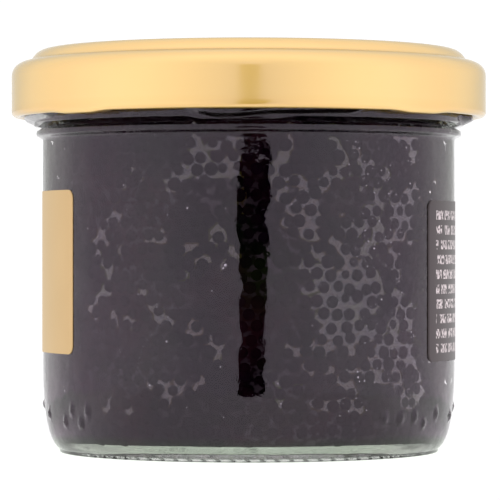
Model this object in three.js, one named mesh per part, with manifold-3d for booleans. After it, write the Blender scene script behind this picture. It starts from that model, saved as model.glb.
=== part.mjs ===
// Squat clear glass jar of black lumpfish caviar, shut with a gold twist-off lid,
// with a curved label on each side. Millimetres, +Z up, origin at the centre of the foot ring.
// The front label is centred on -X and the back label on +X.

import * as THREE from "three";
import { mergeVertices } from "three/addons/utils/BufferGeometryUtils.js";
import Module from "manifold-3d";

const wasm = await Module();
wasm.setup();

const ROUND_STEPS = 48;
const CURVE_STEPS = 3;
const DEGREE = Math.PI / 180;

// Glass jar: outside
const BODY_RADIUS = 28.96;
const FOOT_INNER = 23.4;
const FOOT_OUTER = 25.8;
const PUNT_RADIUS = 21.0;
const PUNT_HEIGHT = 1.0;
const HEEL_PULL_OUT = new THREE.Vector2(28.0, 0);
const HEEL_PULL_UP = new THREE.Vector2(28.9, 4.2);
const HEEL_TOP = 12.5;
const BEAD_RADIUS = 29.87;
const BEAD_FOOT = 43.5;
const BEAD_UNDERSIDE = 43.9;
const BEAD_CENTRE = 44.5;
const BEAD_UPPER_SIDE = 44.95;
const WAIST_RADIUS = 29.1;
const WAIST_HEIGHT = 45.2;
const NECK_RADIUS = 30.2;
const NECK_FOOT = 45.9;

// Glass jar: mouth and inside
const RIM_TOP = 54.1;
const RIM_ROUND = 1.3;
const BORE_RADIUS = 26.4;
const BORE_TOP = 49.5;
const FLOOR_HEIGHT = 2.6;
const FLOOR_CROWN = 3.5;
const CORNER_ROUND = 5.0;

// Four thread lugs on the neck, each level at first, then rising to the right and stepping up over a claw
const LUG_COUNT = 4;
const LUG_START = -14 * DEGREE;
const LUG_SPAN = 62 * DEGREE;
const LUG_LEAD = 8.5;
const LUG_LEVEL_SHARE = 1 / 6;
const LUG_STEP = 1.3;
const LUG_STEP_SHARES = [0.61, 0.82];
const LUG_LOW = 45.65;
const LUG_HEIGHT = 1.8;
const LUG_RADIUS = 31.25;
const LUG_ROOT = 29.7;
const LUG_EDGE_SHARE = 0.45;
const LUG_TAPER = 8;
const LUG_STEPS = 6;

// Twist-off lid
const LID_TOP = 56.3;
const LID_RADIUS = 33.33;
const LID_FOOT = 46.75;
const LID_WALL = 0.5;
const PANEL_RADIUS = 28.2;
const PANEL_EDGE = 29.9;
const VALLEY_RADIUS = 30.6;
const VALLEY_HEIGHT = 54.7;
const SHOULDER_FOOT = 52.4;
const SHOULDER_PULL = 54.5;
const CURL_ROUND = 0.75;
const CURL_JOIN = 0.75 * Math.PI;
const CLAW_REACH = 1.3;
const CLAW_CENTRE = 45 * DEGREE;
const CLAW_DROP = 0.3;
const CLAW_HALF_WIDTH = 9 * DEGREE;

// Caviar: bumps the size of the eggs, standing clear of the glass
const WALL_GAP = 0.3;
const EGG_COLUMNS = 110;
const EGG_DEPTH = 0.45;
const EGG_UNEVENNESS = 0.18;
const FILL_HEIGHT = 48.0;
const FILL_CROWN = 0.4;
const SEED = 63;

// Labels
const LABEL_GAP = 0.12;
const LABEL_THICKNESS = 0.2;
const LABEL_HALF_ANGLE = 34 * DEGREE;
const LABEL_CORNER = 1.2;
const LABEL_STEPS = 24;
const LABEL_CORNER_STEPS = 4;
const FRONT_LABEL = { centre: -90 * DEGREE, low: 14.0, high: 36.4 };
const BACK_LABEL = { centre: 90 * DEGREE, low: 12.9, high: 35.0 };

const MATERIALS = {
  glass: { color: 0xdde8dc, roughness: 0.05, metalness: 0, transparent: true, opacity: 0.35 },
  gold: { color: 0xe6c183, roughness: 0.3, metalness: 0.6 },
  roe: { color: 0x17131a, roughness: 0.25, metalness: 0 },
  frontLabel: { color: 0xd6b57c, roughness: 0.45, metalness: 0.2 },
  backLabel: { color: 0x46413a, roughness: 0.4, metalness: 0 },
};

// Seeded draw between -1 and 1, the same on every run
function makeDraw(seed) {
  let state = seed;
  return () => {
    state = (state * 16807) % 2147483647;
    return (state / 2147483647) * 2 - 1;
  };
}

// Closed surface with shared corners, without normals, UVs and faces of no area
function closedSurface(geometry) {
  const bare = geometry.clone();
  bare.deleteAttribute("normal");
  bare.deleteAttribute("uv");
  const merged = mergeVertices(bare, 1e-4);
  const index = merged.getIndex().array;
  const kept = [];
  for (let i = 0; i < index.length; i += 3) {
    const [a, b, c] = [index[i], index[i + 1], index[i + 2]];
    if (a !== b && b !== c && c !== a) kept.push(a, b, c);
  }
  merged.setIndex(kept);
  return merged;
}

function toSolid(geometry) {
  const surface = closedSurface(geometry);
  return new wasm.Manifold(new wasm.Mesh({
    numProp: 3,
    vertProperties: Float32Array.from(surface.getAttribute("position").array),
    triVerts: Uint32Array.from(surface.getIndex().array),
  }));
}

function fromSolid(solid) {
  const mesh = solid.getMesh();
  const geometry = new THREE.BufferGeometry();
  geometry.setAttribute("position", new THREE.BufferAttribute(mesh.vertProperties, 3));
  geometry.setIndex(new THREE.BufferAttribute(mesh.triVerts, 1));
  return geometry;
}

// Section (radius, height) turned round +Z; azimuth 0 faces -Y and grows towards +X
function turned(points, steps) {
  const geometry = new THREE.LatheGeometry(points, steps);
  geometry.rotateX(Math.PI / 2);
  return geometry;
}

function onCircle(radius, azimuth, height) {
  return new THREE.Vector3(radius * Math.sin(azimuth), -radius * Math.cos(azimuth), height);
}

// Moves every corner of a geometry to where the rule puts it
function reshape(geometry, rule) {
  const position = geometry.getAttribute("position");
  const corner = new THREE.Vector3();
  for (let i = 0; i < position.count; i += 1) {
    corner.fromBufferAttribute(position, i);
    const moved = rule(corner, i);
    position.setXYZ(i, moved.x, moved.y, moved.z);
  }
  return geometry;
}

function jarSection() {
  const path = new THREE.Path();
  path.moveTo(0, PUNT_HEIGHT);
  path.quadraticCurveTo(PUNT_RADIUS, PUNT_HEIGHT, FOOT_INNER, 0);
  path.lineTo(FOOT_OUTER, 0);
  path.bezierCurveTo(...HEEL_PULL_OUT, ...HEEL_PULL_UP, BODY_RADIUS, HEEL_TOP);
  path.lineTo(BODY_RADIUS, BEAD_FOOT);
  path.bezierCurveTo(BODY_RADIUS, BEAD_UNDERSIDE, BEAD_RADIUS, BEAD_UNDERSIDE, BEAD_RADIUS, BEAD_CENTRE);
  path.quadraticCurveTo(BEAD_RADIUS, BEAD_UPPER_SIDE, WAIST_RADIUS, WAIST_HEIGHT);
  path.lineTo(NECK_RADIUS, NECK_FOOT);
  path.lineTo(NECK_RADIUS, RIM_TOP - RIM_ROUND);
  path.absarc(NECK_RADIUS - RIM_ROUND, RIM_TOP - RIM_ROUND, RIM_ROUND, 0, Math.PI, false);
  path.lineTo(BORE_RADIUS, BORE_TOP);
  path.lineTo(BORE_RADIUS, FLOOR_HEIGHT + CORNER_ROUND);
  path.absarc(BORE_RADIUS - CORNER_ROUND, FLOOR_HEIGHT + CORNER_ROUND, CORNER_ROUND, 0, -Math.PI / 2, true);
  path.quadraticCurveTo(BORE_RADIUS / 2, FLOOR_CROWN, 0, FLOOR_CROWN);
  return path.getPoints(CURVE_STEPS);
}

// Thread lug: a bar bent round the neck, with a rounded outside and tapered ends
function threadLug(start) {
  const bar = new THREE.BoxGeometry(1, 1, 1, LUG_STEPS, 3, 1);
  return reshape(bar, (corner) => {
    const along = corner.x + 0.5;
    const taper = Math.min(1, LUG_EDGE_SHARE + LUG_TAPER * Math.min(along, 1 - along));
    const swell = LUG_EDGE_SHARE + (1 - LUG_EDGE_SHARE) * Math.cos(corner.y * Math.PI);
    const reach = (LUG_RADIUS - LUG_ROOT) * taper * swell;
    const climb = LUG_LEAD * Math.max(0, along - LUG_LEVEL_SHARE) * LUG_SPAN / (2 * Math.PI);
    const lift = climb + LUG_STEP * THREE.MathUtils.smoothstep(along, ...LUG_STEP_SHARES);
    const height = LUG_LOW + lift + (corner.y + 0.5) * LUG_HEIGHT;
    return onCircle(corner.z > 0 ? LUG_ROOT + reach : LUG_ROOT, start + along * LUG_SPAN, height);
  });
}

function glassJar() {
  let solid = toSolid(turned(jarSection(), ROUND_STEPS));
  for (let i = 0; i < LUG_COUNT; i += 1) {
    solid = solid.add(toSolid(threadLug(LUG_START + i * 2 * Math.PI / LUG_COUNT)));
  }
  return fromSolid(solid);
}

function lidSection() {
  const path = new THREE.Path();
  const inside = LID_RADIUS - LID_WALL;
  const curlHeight = LID_FOOT + CURL_ROUND;
  path.moveTo(0, LID_TOP - LID_WALL);
  path.lineTo(PANEL_RADIUS, LID_TOP - LID_WALL);
  path.lineTo(VALLEY_RADIUS - LID_WALL, VALLEY_HEIGHT - LID_WALL);
  path.quadraticCurveTo(inside, SHOULDER_PULL - LID_WALL, inside, SHOULDER_FOOT);
  path.lineTo(inside, curlHeight + CURL_ROUND);
  path.absarc(LID_RADIUS - CURL_ROUND, curlHeight, CURL_ROUND, CURL_JOIN, 2 * Math.PI, false);
  path.lineTo(LID_RADIUS, SHOULDER_FOOT);
  path.quadraticCurveTo(LID_RADIUS, SHOULDER_PULL, VALLEY_RADIUS, VALLEY_HEIGHT);
  path.quadraticCurveTo(PANEL_EDGE, LID_TOP, PANEL_RADIUS, LID_TOP);
  path.lineTo(0, LID_TOP);
  return path.getPoints(CURVE_STEPS);
}

// Four claws: the rolled edge is pressed in and down under the thread lugs
function twistOffLid() {
  const lid = turned(lidSection(), ROUND_STEPS);
  const quarter = 2 * Math.PI / LUG_COUNT;
  return reshape(lid, (corner) => {
    const radius = Math.hypot(corner.x, corner.y);
    const azimuth = Math.atan2(corner.x, -corner.y);
    const turn = THREE.MathUtils.euclideanModulo(azimuth - CLAW_CENTRE, quarter);
    const offset = Math.min(turn, quarter - turn);
    const low = corner.z < LID_FOOT + 0.9 * CURL_ROUND && offset < CLAW_HALF_WIDTH;
    const reach = low && radius < LID_RADIUS - CURL_ROUND ? CLAW_REACH : 0;
    return onCircle(radius - reach, azimuth, corner.z - (low ? CLAW_DROP : 0));
  });
}

// Outline of the filling: flat underneath, rounded into the wall, and level on top
function fillingSection() {
  const spacing = 2 * Math.PI * (BORE_RADIUS - WALL_GAP) / EGG_COLUMNS;
  const outer = BORE_RADIUS - WALL_GAP;
  const low = FLOOR_HEIGHT + WALL_GAP;
  const arcCentre = new THREE.Vector2(BORE_RADIUS - CORNER_ROUND, FLOOR_HEIGHT + CORNER_ROUND);
  const arcRadius = CORNER_ROUND - WALL_GAP;
  const arcSteps = Math.round(arcRadius * Math.PI / 2 / spacing);
  const wallSteps = Math.round((FILL_HEIGHT - arcCentre.y) / spacing);
  const crown = FLOOR_CROWN + WALL_GAP;
  const points = [new THREE.Vector2(0, crown)];
  points.push(new THREE.Vector2(arcCentre.x / 2, low + (crown - low) * 0.75));
  for (let i = 0; i <= arcSteps; i += 1) {
    const turn = i / arcSteps * Math.PI / 2;
    const step = new THREE.Vector2(Math.sin(turn), -Math.cos(turn)).multiplyScalar(arcRadius);
    points.push(step.add(arcCentre));
  }
  for (let i = 1; i <= wallSteps; i += 1) {
    points.push(new THREE.Vector2(outer, arcCentre.y + i / wallSteps * (FILL_HEIGHT - arcCentre.y)));
  }
  points.push(new THREE.Vector2(outer - 2 * spacing, FILL_HEIGHT + FILL_CROWN));
  points.push(new THREE.Vector2(0, FILL_HEIGHT + FILL_CROWN));
  return points;
}

// Caviar: every second corner of the turned surface is an egg's crown, the others are hollows
function caviar() {
  const section = fillingSection();
  const rows = section.length;
  const geometry = turned(section, EGG_COLUMNS);
  const draw = makeDraw(SEED);
  const sinks = [];
  for (let i = 0; i < EGG_COLUMNS * rows; i += 1) {
    const row = i % rows;
    const column = Math.floor(i / rows);
    const hollow = (row + column) % 2 === 1;
    sinks.push(hollow ? EGG_DEPTH + EGG_UNEVENNESS * draw() : EGG_UNEVENNESS * Math.abs(draw()));
  }
  reshape(geometry, (corner, i) => {
    const row = i % rows;
    if (row < 2 || row > rows - 3) return corner;
    const height = Math.max(corner.z, FLOOR_HEIGHT + CORNER_ROUND);
    const inward = new THREE.Vector3(0, 0, height).sub(corner).normalize();
    return corner.clone().addScaledVector(inward, sinks[i % (EGG_COLUMNS * rows)]);
  });
  const index = [];
  for (let column = 0; column < EGG_COLUMNS; column += 1) {
    for (let row = 0; row < rows - 1; row += 1) {
      const a = column * rows + row;
      const b = a + rows;
      const c = b + 1;
      const d = a + 1;
      if ((row + column) % 2 === 1) index.push(a, b, c, a, c, d);
      else index.push(a, b, d, b, c, d);
    }
  }
  geometry.setIndex(index);
  return closedSurface(geometry);
}

// Label: a thin plate bent round the body, with rounded corners
function label({ centre, low, high }) {
  const inner = BODY_RADIUS + LABEL_GAP;
  const halfWidth = inner * LABEL_HALF_ANGLE;
  const halfHeight = (high - low) / 2;
  const plate = new THREE.BoxGeometry(2, 2, 1, LABEL_STEPS, 1, 1);
  const flatSteps = LABEL_STEPS - 2 * LABEL_CORNER_STEPS;
  return reshape(plate, (corner) => {
    const step = Math.round((corner.x + 1) / 2 * LABEL_STEPS) - LABEL_STEPS / 2;
    const side = Math.sign(step);
    const beyond = Math.max(0, Math.abs(step) - flatSteps / 2) / LABEL_CORNER_STEPS;
    const turn = beyond * Math.PI / 2;
    const across = beyond > 0
      ? side * (halfWidth - LABEL_CORNER + LABEL_CORNER * Math.sin(turn))
      : step / (flatSteps / 2) * (halfWidth - LABEL_CORNER);
    const half = halfHeight - LABEL_CORNER + LABEL_CORNER * Math.cos(turn);
    const radius = inner + (corner.z > 0 ? LABEL_THICKNESS : 0);
    return onCircle(radius, centre + across / inner, low + halfHeight + corner.y * half);
  });
}

function piece(name, geometry, finish) {
  const mesh = new THREE.Mesh(geometry, new THREE.MeshStandardMaterial(finish));
  mesh.name = name;
  return mesh;
}

const jar = new THREE.Group();
jar.add(piece("jar_glass", glassJar(), MATERIALS.glass));
jar.add(piece("lid", closedSurface(twistOffLid()), MATERIALS.gold));
jar.add(piece("caviar", caviar(), MATERIALS.roe));
jar.add(piece("label_front", closedSurface(label(FRONT_LABEL)), MATERIALS.frontLabel));
jar.add(piece("label_back", closedSurface(label(BACK_LABEL)), MATERIALS.backLabel));

export default jar;
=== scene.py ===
"""Visual model of a squat glass jar of black lumpfish caviar with a gold twist-off lid.

Shapes are worked out in millimetres, as whole arrays, and put into the meshes in metres. Azimuth 0 faces
-Y, the camera's side, and grows towards +X. Height is along +Z from the surface that the jar stands on.
"""
import math

import bpy
import numpy as np
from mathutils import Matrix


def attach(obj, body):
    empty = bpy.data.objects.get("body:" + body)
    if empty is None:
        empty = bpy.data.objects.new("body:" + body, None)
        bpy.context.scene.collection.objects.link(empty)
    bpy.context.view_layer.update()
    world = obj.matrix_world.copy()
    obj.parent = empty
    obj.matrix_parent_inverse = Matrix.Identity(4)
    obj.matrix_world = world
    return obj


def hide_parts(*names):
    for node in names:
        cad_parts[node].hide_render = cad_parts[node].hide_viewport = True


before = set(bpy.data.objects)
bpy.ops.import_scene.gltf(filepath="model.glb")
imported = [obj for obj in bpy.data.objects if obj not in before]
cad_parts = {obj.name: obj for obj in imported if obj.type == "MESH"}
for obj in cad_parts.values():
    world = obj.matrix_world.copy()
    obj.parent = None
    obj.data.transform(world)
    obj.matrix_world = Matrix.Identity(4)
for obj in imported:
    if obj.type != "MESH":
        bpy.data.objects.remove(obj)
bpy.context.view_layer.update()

MM = 0.001
FULL_TURN = 2 * math.pi

# Camera and light
CAMERA_PLACE = (0.00017, -0.45, 0.0282)
CAMERA_LENS = 229.9
# Brightness of the white tent by how far a direction points back, from -1 at the camera to 1 behind the jar,
# and of the floor near the jar and right under it. The blends are distances from the jar's axis in metres.
TENT_PEAK = 1.4
TENT = ((-1.0, (1.08, 0.94, 1.12)), (-0.9, (1.12, 0.97, 1.16)), (-0.78, (1.22, 1.08, 1.27)),
        (-0.62, (1.32, 1.18, 1.36)), (-0.3, (1.36, 1.18, 1.4)), (0.05, (1.22, 1.04, 1.25)),
        (0.3, (1.17, 1.03, 1.18)), (0.6, (1.19, 1.1, 1.17)), (0.9, (0.86, 0.86, 0.84)),
        (0.982, (0.9, 0.9, 0.9)), (0.992, (1.08, 1.08, 1.08)))
FLOOR_REACH, FLOOR_DROP = 3000.0, 0.03
FLOOR_NEAR = ((-1.0, (1.07, 0.94, 1.08)), (-0.75, (1.1, 0.96, 1.11)), (-0.4, (1.24, 1.1, 1.24)),
              (-0.25, (1.36, 1.22, 1.36)), (0.0, (1.2, 1.1, 1.2)), (0.35, (0.96, 0.95, 0.96)),
              (1.0, (0.95, 0.95, 0.95)))
FLOOR_UNDER, UNDER_BLEND = (1.02, 1.07, 1.0), (0.03, 0.034)
FLOOR_COLOUR, FLOOR_BLEND = 0.08, (0.095, 0.11)
# Corners of the parts of the tent's dark opening round the camera, from the lowest up
OPENING = (
    ((-7, -94, 0.4), (9, -94, 0.4), (35, -210, 47.2), (-17.3, -210, 47.2)),
    ((-9.5, -213, 48.4), (14.5, -213, 48.4), (15.8, -232, 55.4), (-10.6, -232, 55.4)),
    ((-17, -239, 59.3), (22, -239, 59.3), (28, -321, 88.0), (-23, -321, 88.0)),
)

# Glass jar
JAR_COLUMNS, BODY_RADIUS = 680, 28.96
FOOT_INNER, HEEL_START, SKIRT_STEP = 24.9, 25.4, 5
PUNT_HEIGHT, PUNT_PULL, PUNT_EDGE = 1.7, 19.0, (24.6, 1.62)
HEEL_PULLS, HEEL_TOP = ((28.0, 0.0), (28.9, 4.2)), 12.5
BEAD_RADIUS, BEAD_FOOT, BEAD_UNDERSIDE, BEAD_CENTRE, BEAD_UPPER = 29.87, 43.5, 43.95, 44.35, 44.65
LIP_RADIUS, LIP_HEIGHT = 29.82, 44.83
WAIST_RADIUS, WAIST_HEIGHT = 29.1, 45.25
NECK_RADIUS, NECK_FOOT, RIM_TOP, RIM_ROUND = 30.2, 45.9, 54.1, 1.3
NECK_PARTS = ((NECK_FOOT + 0.1, 47.5, 17), (47.5, 50.6, 8), (50.6, RIM_TOP - RIM_ROUND, 2))
BORE_RADIUS, BORE_TOP = 26.4, 49.5
FLOOR_HEIGHT, FLOOR_CROWN, CORNER_ROUND = 2.45, 3.45, 2.2
CORNER = (BORE_RADIUS - CORNER_ROUND, FLOOR_HEIGHT + CORNER_ROUND)

# Thread lugs on the neck. Each comes down from its rounded start, runs level, rises to the right and steps up
# over a claw. The neck reaches lower under the first part of each.
LUG_COUNT = 4
LUG_START, LUG_SPAN, APRON_SPAN = np.radians((-16.5, 62, 30))
LUG_LOW, LUG_LEAD, LUG_HEIGHT, LUG_CREST, LUG_REACH = 45.6, 4.5, 1.9, 1.3, 1.35
LUG_FLANK, LUG_END = 0.62, 0.12
LUG_DIP, LUG_DIP_SHARE = 0.7, 0.16
LUG_RISE, LUG_RISE_SHARES = 0.45, (0.16, 0.4)
LUG_STEP, LUG_STEP_SHARES = 1.6, (0.68, 0.85)
APRON_DEPTH, APRON_TOP = 0.4, 47.5

# Dots on the heel, and notches in the skirt below it
MOULD_DOTS = ((39.5, 5.5), (45.8, 5.5), (51.8, 5.6), (56.5, 4.6), (63.6, 5.7), (77.6, 5.2), (89.0, 6.2),
              (-49.5, 6.3), (-53.0, 4.7), (-57.0, 6.3), (-61.5, 4.7), (-74.5, 5.6), (-89.0, 6.6))
DOT_RADIUS, DOT_HEIGHT = 0.82, 0.27
NOTCH_COUNT, NOTCH_SLANT, NOTCH_DEPTH = 85, 1.0, 0.5

# Twist-off lid
LID_COLUMNS = 288
LID_TOP, LID_RADIUS, LID_FOOT, LID_WALL = 56.3, 33.33, 46.75, 0.5
PANEL_RADIUS, PANEL_EDGE, PANEL_FALL = 28.2, 29.9, (1.2, 1.6, 2.8)
VALLEY_RADIUS, VALLEY_HEIGHT = 30.6, 54.7
SHOULDER_FOOT, SHOULDER_PULL = 52.4, 54.5
# The second pair are heights in metres over which painted shade deepens the lid's gold, from the rolled edge
# up.
CURL_ROUND, EDGE_SHADE_BLEND = 0.75, (0.0472, 0.0486)
BUTTON_RADIUS, BUTTON_RISE, BUTTON_DIP, BUTTON_FALL, BUTTON_HOLLOW = 11.5, 0.35, 0.4, (0.8, 1.6), 0.15
CLAW_CENTRE, CLAW_WIDTH = np.radians((45.5, 11))
CLAW_COUNT, CLAW_REACH, CLAW_DROP = 4, 1.3, 0.3

# Roe and jelly
FLOOR_STEPS, FILM_STEPS, CORNER_STEPS = 60, 3, 24
FILL_HEIGHT, FILL_CROWN, FILL_DROP = 48.0, 0.4, 0.25
JELLY_COLUMNS, JELLY_SPACING, JELLY_REACH, FLOOR_FILM = 540, 0.3, 0.12, 0.05
POCKET_SLOPE, POCKET_STEEPENING, POCKET_DEPTH = 0.4, 0.5, 0.9
POCKET_SPREAD, POCKET_GROWTH, POCKET_RIPPLE = 0.13, 0.2, 0.1
EGG_SPACING, EGG_RADIUS, EGG_COLUMNS, EGG_REACH, EGG_STRAY = 2.0, 1.0, 10, 0.16, 0.11
EGG_SIZE_STRAY, EGG_SIZES = 0.06, (0.82, 1.15)
CONTACT_RADIUS, CONTACT_STRAY, CONTACT_RADII = 0.78, 0.1, (0.4, 0.85)
BUBBLE_TRIES, BUBBLE_CHANCE, BUBBLE_FLATNESS = 14000, 0.02, 0.3
BUBBLE_RADIUS, BUBBLE_STRAY, BUBBLE_RADII = 0.09, 0.35, (0.055, 0.2)
BUBBLE_CENTRE, BUBBLE_WIDTH, BUBBLE_GAP = np.radians((44, 18, 6))
SEED = 4711
# Where pockets are scattered: on the hidden sides, fewer at the outline, and in a crowded part on the right
HIDDEN_SIDE, EDGE_SIDE, EDGE_CLEAR = np.radians((66, 74)), math.radians(88), np.radians((7, 4))
CROWDED_SIDE, CROWDED_TOP, CROWDED_FOOT = np.radians((16, 26)), (44, 38), (8.5, 10.5)
SCATTER_BAR, SCATTER_FOOT = 6, (7, 5)
# Warm and olive black of the jelly behind air
AIR_CASTS = ((0.032, 0.018, 0.0085), (0.021, 0.0235, 0.001))

# Labels, against the glass
LABEL_INNER, LABEL_OUTER, LABEL_CORNER = 28.97, 29.05, 1.2
FRONT_LABEL = {"centre": -90, "half_angle": 34.6, "low": 14.0, "high": 36.4}
BACK_LABEL = {"centre": 90, "half_angle": 33.0, "low": 12.9, "high": 35.0}
# Plain field and line on the gold label, rows of strokes on the dark one
FIELD_SHIFT, FIELD_HALF, FIELD_LOW, FIELD_HIGH, LINE_LEVEL, LINE_HALF = 7.0, 6.0, 6.4, 16.0, 3.6, 0.35
ROW_START, ROW_STEP, WORD_STEP, STROKE_LEVEL, STROKE_HALF = 0.9, 2.03, 3.1, 0.45, 0.31
PRINT_HALF, PRINT_LOW, PRINT_HIGH = 14.3, 1.2, 21.2

# Air pockets against the glass: chains of azimuth in degrees, height and radius in hundredths
AIR_POCKETS = (
    ((11.2, 43.3, 17), (11.6, 41.8, 17)),
    ((10.2, 40.6, 53), (7.8, 39, 53), (7.5, 36.9, 53), (9.6, 36.1, 40)),
    ((7.8, 38, 53), (12.3, 37.8, 40), (16.5, 36.7, 53), (15.3, 34.8, 66), (12.9, 33.9, 53)),
    ((8.1, 35.9, 53), (10.2, 34.1, 53), (14.1, 33, 53)),
    ((16.5, 35.1, 53), (19, 34, 46), (18.4, 32.2, 66), (16.2, 30.6, 66), (19, 29.9, 40)),
    ((10.5, 31.9, 40), (14.1, 31.6, 40), (16.8, 31.5, 53)),
    ((20.3, 36.4, 53), (21.8, 37.5, 59), (25.7, 38.4, 61)),
    ((24.4, 42.7, 34), (26, 41.5, 40), (28.3, 39.8, 29)), ((31, 42, 20), (32, 40.6, 26), (34.8, 39.1, 24)),
    ((44.1, 43, 33), (49.5, 43.1, 40), (54.4, 43, 40)), ((53.9, 42.3, 46), (53.5, 40.7, 53)),
    ((38.8, 36, 46), (39.9, 34.5, 53), (38, 33.1, 46), (39.1, 31.1, 46), (38.4, 29.8, 46)),
    ((44.5, 35.7, 40), (45.3, 34.1, 34)),
    ((37.7, 33.3, 46), (35.2, 31.9, 59), (31.7, 30.9, 73), (28.3, 31.1, 59)),
    ((49, 33.9, 40), (48.6, 33.1, 26)), ((26.3, 28.6, 37), (28.3, 27.9, 42), (30.3, 27.8, 24)),
    ((43.7, 29.9, 40), (48.6, 30.1, 40)), ((35.5, 29.1, 33), (37.3, 27.9, 40), (38, 26.5, 33)),
    ((18.1, 28.3, 34), (20.3, 27.4, 40), (23.1, 26.5, 46), (21.8, 25.3, 46)),
    ((14.1, 26.6, 26), (16.5, 25.8, 40), (19.6, 25.6, 53)),
    ((28.6, 26.1, 53), (33.4, 25.7, 92), (36.9, 24.7, 79), (39.1, 22.6, 79)),
    ((44.9, 28.1, 40), (46.5, 25.8, 40), (46.9, 24.8, 26)),
    ((16.2, 22.9, 40), (20.9, 23.8, 66), (26.7, 24.2, 79), (32, 23.5, 106), (38.4, 22, 79)),
    ((18.1, 21.3, 53), (22.2, 21.6, 106), (28.6, 21.3, 132), (34.8, 21.5, 106)),
    ((20.3, 19.3, 53), (24.7, 19.2, 106), (30, 19.7, 106)),
    ((22.8, 17.3, 79), (27.3, 17, 79), (29.6, 15.8, 53)),
    ((19, 15, 32), (21.5, 14.8, 53), (23.4, 15.3, 53)), ((30, 14.6, 34), (28, 15.8, 40)),
    ((10.8, 15.3, 24), (12.6, 14.6, 29), (15.3, 14.7, 24), (17.8, 15.9, 21)),
    ((47.8, 21.7, 40), (49.9, 20.6, 59), (51.7, 19, 59), (49, 17.9, 40)),
    ((45.3, 20.4, 46), (45.7, 18.2, 53), (44.9, 16.1, 59), (42.5, 14.5, 59), (41.8, 13.4, 53)),
    ((36.9, 13.1, 46), (41.8, 12.9, 59), (45.7, 12.6, 53), (46.5, 11, 46)),
    ((34.1, 11.7, 53), (37.7, 11.3, 53), (41.4, 10.8, 46)),
    ((46.5, 10, 40), (49, 9.2, 33), (50.3, 8.5, 26)), ((49.9, 7.7, 53), (53.5, 7.6, 57), (57.8, 9.1, 50)),
    ((26.7, 10.8, 40), (29.6, 10.1, 40), (31, 9.3, 32)),
    ((27.3, 7.9, 46), (30.3, 7.3, 55), (32.7, 6.9, 40)),
    ((18.7, 8, 40), (22.2, 7.3, 40), (25, 7.8, 24), (27.3, 8, 26)), ((16.5, 12.7, 32), (17.2, 12.2, 37)),
    ((22.9, 12.2, 40), (23.4, 12.2, 37)), ((29, 12.2, 24), (31.3, 12.2, 24)),
    ((8.1, 10.5, 24), (8.2, 10.4, 24)), ((9, 7.9, 33), (9.1, 7.8, 33)), ((13.9, 10, 21), (14.4, 10, 18)),
    ((6.2, 11.8, 16), (6.3, 11.8, 16)),
    ((-15.8, 43.1, 59), (-14.6, 41.7, 66), (-14.3, 40.1, 86), (-17.6, 38.6, 66), (-19.8, 37.9, 46),
     (-23.3, 37.5, 37)),
    ((-10.9, 41.8, 40), (-6.8, 42.6, 46), (-2.6, 42.4, 53)),
    ((-13.1, 40.4, 53), (-10.3, 39, 40), (-6.8, 39.4, 53), (-3.8, 40.3, 53)),
    ((-13.4, 38.5, 59), (-10.3, 38.4, 42), (-5, 38.5, 40), (-2, 37.2, 40)),
    ((-2.3, 35.3, 34), (-2.6, 33.7, 32)), ((-23.3, 36.3, 16), (-19.8, 36.1, 16)),
    ((-39.4, 32.9, 40), (-42.4, 32.2, 66), (-45.5, 31.2, 34), (-47.2, 30.1, 26), (-49.3, 29.1, 18)),
    ((-46.8, 30.4, 26), (-44.3, 29.1, 32)), ((-47.6, 28.1, 18), (-47.2, 27, 34)),
    ((-46, 26.6, 29), (-43.2, 26.1, 42), (-42.8, 24.7, 26), (-43.2, 23.4, 53), (-46, 22, 45),
     (-50.2, 21.2, 26), (-50.6, 20.2, 24), (-48, 19.2, 26)),
    ((-29.5, 29.5, 17), (-24.3, 29.5, 18)), ((-25.2, 30.7, 16), (-24.3, 31, 20)),
    ((-6.5, 26.4, 42), (-6.3, 26, 53)), ((-14.9, 26.6, 16), (-12.8, 27, 26), (-10.3, 26.9, 16)),
    ((-13.7, 25.3, 29), (-13.1, 26.4, 18)),
    ((-10, 30.6, 29), (-8, 31.1, 32), (-6.8, 29.8, 26), (-10.3, 29.1, 24)),
    ((-19.2, 27.9, 24), (-17.6, 28.5, 18), (-14.9, 28.7, 16)), ((-4.7, 28.2, 29), (-3.8, 27.5, 32)),
    ((-41.2, 19.5, 32), (-40.9, 18.4, 37)), ((-36.4, 18.8, 34), (-34, 18.1, 37)),
    ((-28.5, 21, 26), (-26.2, 20.1, 53), (-25.6, 19.3, 59), (-23.9, 18.7, 32), (-21.7, 18.5, 26)),
    ((-15.8, 18.3, 40), (-14.3, 17.5, 40), (-16.7, 17.2, 26)),
    ((-10.9, 16.2, 32), (-8.3, 15.5, 37), (-8.8, 14.5, 21), (-8.6, 13.3, 26)),
    ((-24.6, 10.4, 47), (-23, 9.5, 53), (-23.6, 8.2, 42)), ((-19.5, 10.5, 55), (-20.5, 9.7, 45)),
    ((-42.8, 8.1, 40), (-44.3, 6.8, 37)), ((-35.9, 6.7, 34), (-35, 6.3, 32)),
    ((-13.4, 11, 32), (-14.6, 10.1, 26)), ((-28.8, 10.3, 25), (-28.7, 10.2, 25)),
    ((-37.5, 37, 22), (-37.4, 36.9, 22)), ((-64.8, 9.1, 29), (-64.2, 8.7, 34)),
    ((-69.3, 38.2, 24), (-69, 38.1, 24)), ((-32.6, 37.9, 29), (-31.9, 37.7, 24)),
    ((-34.8, 39, 16), (-34.5, 38.8, 16)), ((-39, 27.9, 21), (-38.2, 28.2, 18)),
    ((-41.6, 34.9, 13), (-39.4, 35, 16)), ((-18.9, 24.6, 32), (-18.3, 24.9, 26)),
    ((-31.2, 22.7, 24), (-30.5, 22.5, 21)),
)

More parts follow.
